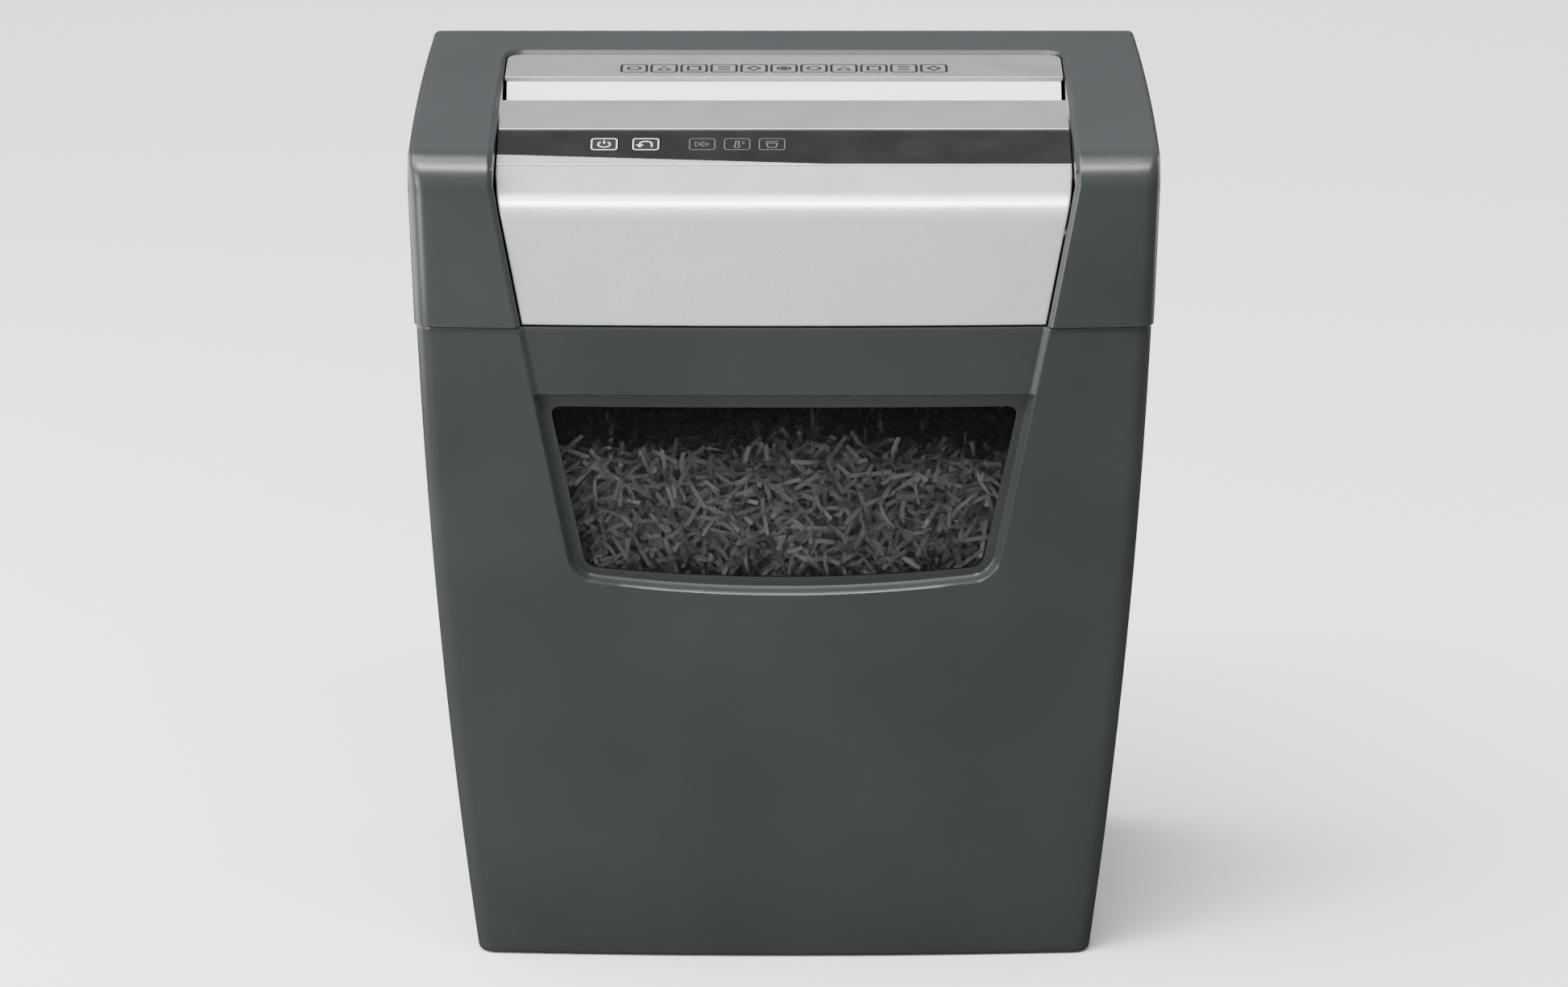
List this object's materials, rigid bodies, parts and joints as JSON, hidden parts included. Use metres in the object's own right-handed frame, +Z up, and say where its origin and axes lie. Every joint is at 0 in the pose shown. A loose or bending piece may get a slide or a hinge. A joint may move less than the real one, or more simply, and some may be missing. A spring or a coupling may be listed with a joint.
{
  "type": "paper shredder",
  "caption": "Upright cross-cut paper shredder: tapering dark bin with a smoked window, and a lift-off head with a top feed slot, silver fascia and gloss control band.",
  "frame": {"origin": "centre of the bounding box at floor level", "axes": "+Z up, front of the shredder towards -Y, +X to the right seen from the front"},
  "size_m": [0.36, 0.25, 0.416],
  "materials": {
    "dark_casing": "fine matt moulded texture",
    "smoked_window": "clear smoked plastic",
    "silver_panel": "satin metallic paint",
    "silver_fascia": "satin metallic paint with fine flake",
    "chute_lining": "light satin plastic",
    "gloss_panel": "polished black plastic",
    "key_cap": "polished black plastic with printed mark",
    "housing_plastic": "plain moulded plastic",
    "inlet_rubber": "soft matt",
    "sheet_steel": "zinc plated sheet",
    "bright_steel": "turned",
    "comb_plastic": "glass filled nylon",
    "sintered_bronze": "sintered, oiled",
    "cutter_steel": "hardened and oiled",
    "spacer_steel": "moulded spacer",
    "gear_steel": "sintered and greased",
    "gear_nylon": "natural nylon, greased",
    "motor_zinc": "zinc plated can",
    "rotor_copper": "lacquered windings on steel",
    "fan_plastic": "plain moulded plastic",
    "circuit_board": "solder mask",
    "transformer_core": "taped winding",
    "relay_blue": "moulded",
    "capacitor_sleeve": "shrink sleeve",
    "switch_black": "plain moulded plastic",
    "light_pipe": "clear moulded",
    "plunger_red": "moulded",
    "black_screws": "blackened"
  },
  "bodies": {
    "bin": {"bin_shell": "dark_casing", "bin_window": "smoked_window"},
    "head": {"head_cover": "dark_casing", "rear_top_panel": "silver_panel", "chute_back_wall": "chute_lining", "front_top_panel": "silver_panel", "throat_front_guide": "chute_lining", "chute_cheeks": "chute_lining", "control_panel": "gloss_panel", "accent_trim": "silver_fascia", "front_fascia": "silver_fascia", "lower_housing": "housing_plastic", "cord_inlet": "inlet_rubber", "chassis_plate_left": "sheet_steel", "chassis_plate_right": "sheet_steel", "tie_rods": "bright_steel", "stripper_comb_front": "comb_plastic", "stripper_comb_rear": "comb_plastic", "bushes_left": "sintered_bronze", "bushes_right": "sintered_bronze", "gear_outer_plate": "sheet_steel", "gear_pins": "bright_steel", "plate_standoffs": "bright_steel", "motor_case": "motor_zinc", "motor_bell_left": "motor_zinc", "motor_bell_right": "motor_zinc", "motor_bearings": "bright_steel", "motor_screws": "bright_steel", "power_board": "circuit_board", "power_transformer": "transformer_core", "power_relay": "relay_blue", "power_capacitor": "capacitor_sleeve", "control_board": "circuit_board", "key_switches": "switch_black", "indicator_lights": "light_pipe", "paper_sensors": "switch_black", "interlock_switch": "switch_black", "cover_screws": "black_screws", "chassis_screws": "bright_steel"},
    "front_cutter": {"front_shaft": "bright_steel", "front_cutters": "cutter_steel", "front_spacers": "spacer_steel", "front_sync_gear": "gear_steel", "drive_wheel": "gear_steel"},
    "rear_cutter": {"rear_shaft": "bright_steel", "rear_cutters": "cutter_steel", "rear_spacers": "spacer_steel", "rear_sync_gear": "gear_steel"},
    "second_gear": {"second_wheel": "gear_nylon"},
    "first_gear": {"first_wheel": "gear_nylon"},
    "rotor": {"motor_rotor": "rotor_copper", "motor_fan": "fan_plastic", "motor_pinion": "gear_steel"},
    "power_key": {"power_key": "key_cap"},
    "reverse_key": {"reverse_key": "key_cap"},
    "plunger": {"interlock_plunger": "plunger_red"}
  },
  "joints": [
    {"name": "head_lift", "type": "slide", "parent": "bin", "child": "head", "axis": [0, 0, 1], "range_m": [0, 0.1]},
    {"name": "front_cutter_spin", "type": "hinge", "parent": "head", "child": "front_cutter", "pos_m": [0, -0.0165, 0.345], "axis": [1, 0, 0], "continuous": true},
    {"name": "rear_cutter_spin", "type": "hinge", "parent": "head", "child": "rear_cutter", "pos_m": [0, 0.0165, 0.345], "axis": [1, 0, 0], "continuous": true},
    {"name": "second_gear_spin", "type": "hinge", "parent": "head", "child": "second_gear", "pos_m": [0, 0.02297, 0.35936], "axis": [1, 0, 0], "continuous": true},
    {"name": "first_gear_spin", "type": "hinge", "parent": "head", "child": "first_gear", "pos_m": [0, 0.0601, 0.36458], "axis": [1, 0, 0], "continuous": true},
    {"name": "motor_spin", "type": "hinge", "parent": "head", "child": "rotor", "pos_m": [0, 0.07278, 0.33739], "axis": [1, 0, 0], "continuous": true},
    {"name": "power_key_press", "type": "slide", "parent": "head", "child": "power_key", "axis": [0, 0.225, -0.9744], "range_m": [0, 0.0008], "stiffness_N_per_m": 1200},
    {"name": "reverse_key_press", "type": "slide", "parent": "head", "child": "reverse_key", "axis": [0, 0.225, -0.9744], "range_m": [0, 0.0008], "stiffness_N_per_m": 1200},
    {"name": "interlock_press", "type": "slide", "parent": "head", "child": "plunger", "axis": [0, 0, 1], "range_m": [0, 0.003], "stiffness_N_per_m": 250}
  ],
  "couplings": [
    {"joint": "rear_cutter_spin", "follows": "front_cutter_spin", "ratio": -1},
    {"joint": "second_gear_spin", "follows": "front_cutter_spin", "ratio": -3},
    {"joint": "first_gear_spin", "follows": "front_cutter_spin", "ratio": 12},
    {"joint": "motor_spin", "follows": "front_cutter_spin", "ratio": -48}
  ]
}
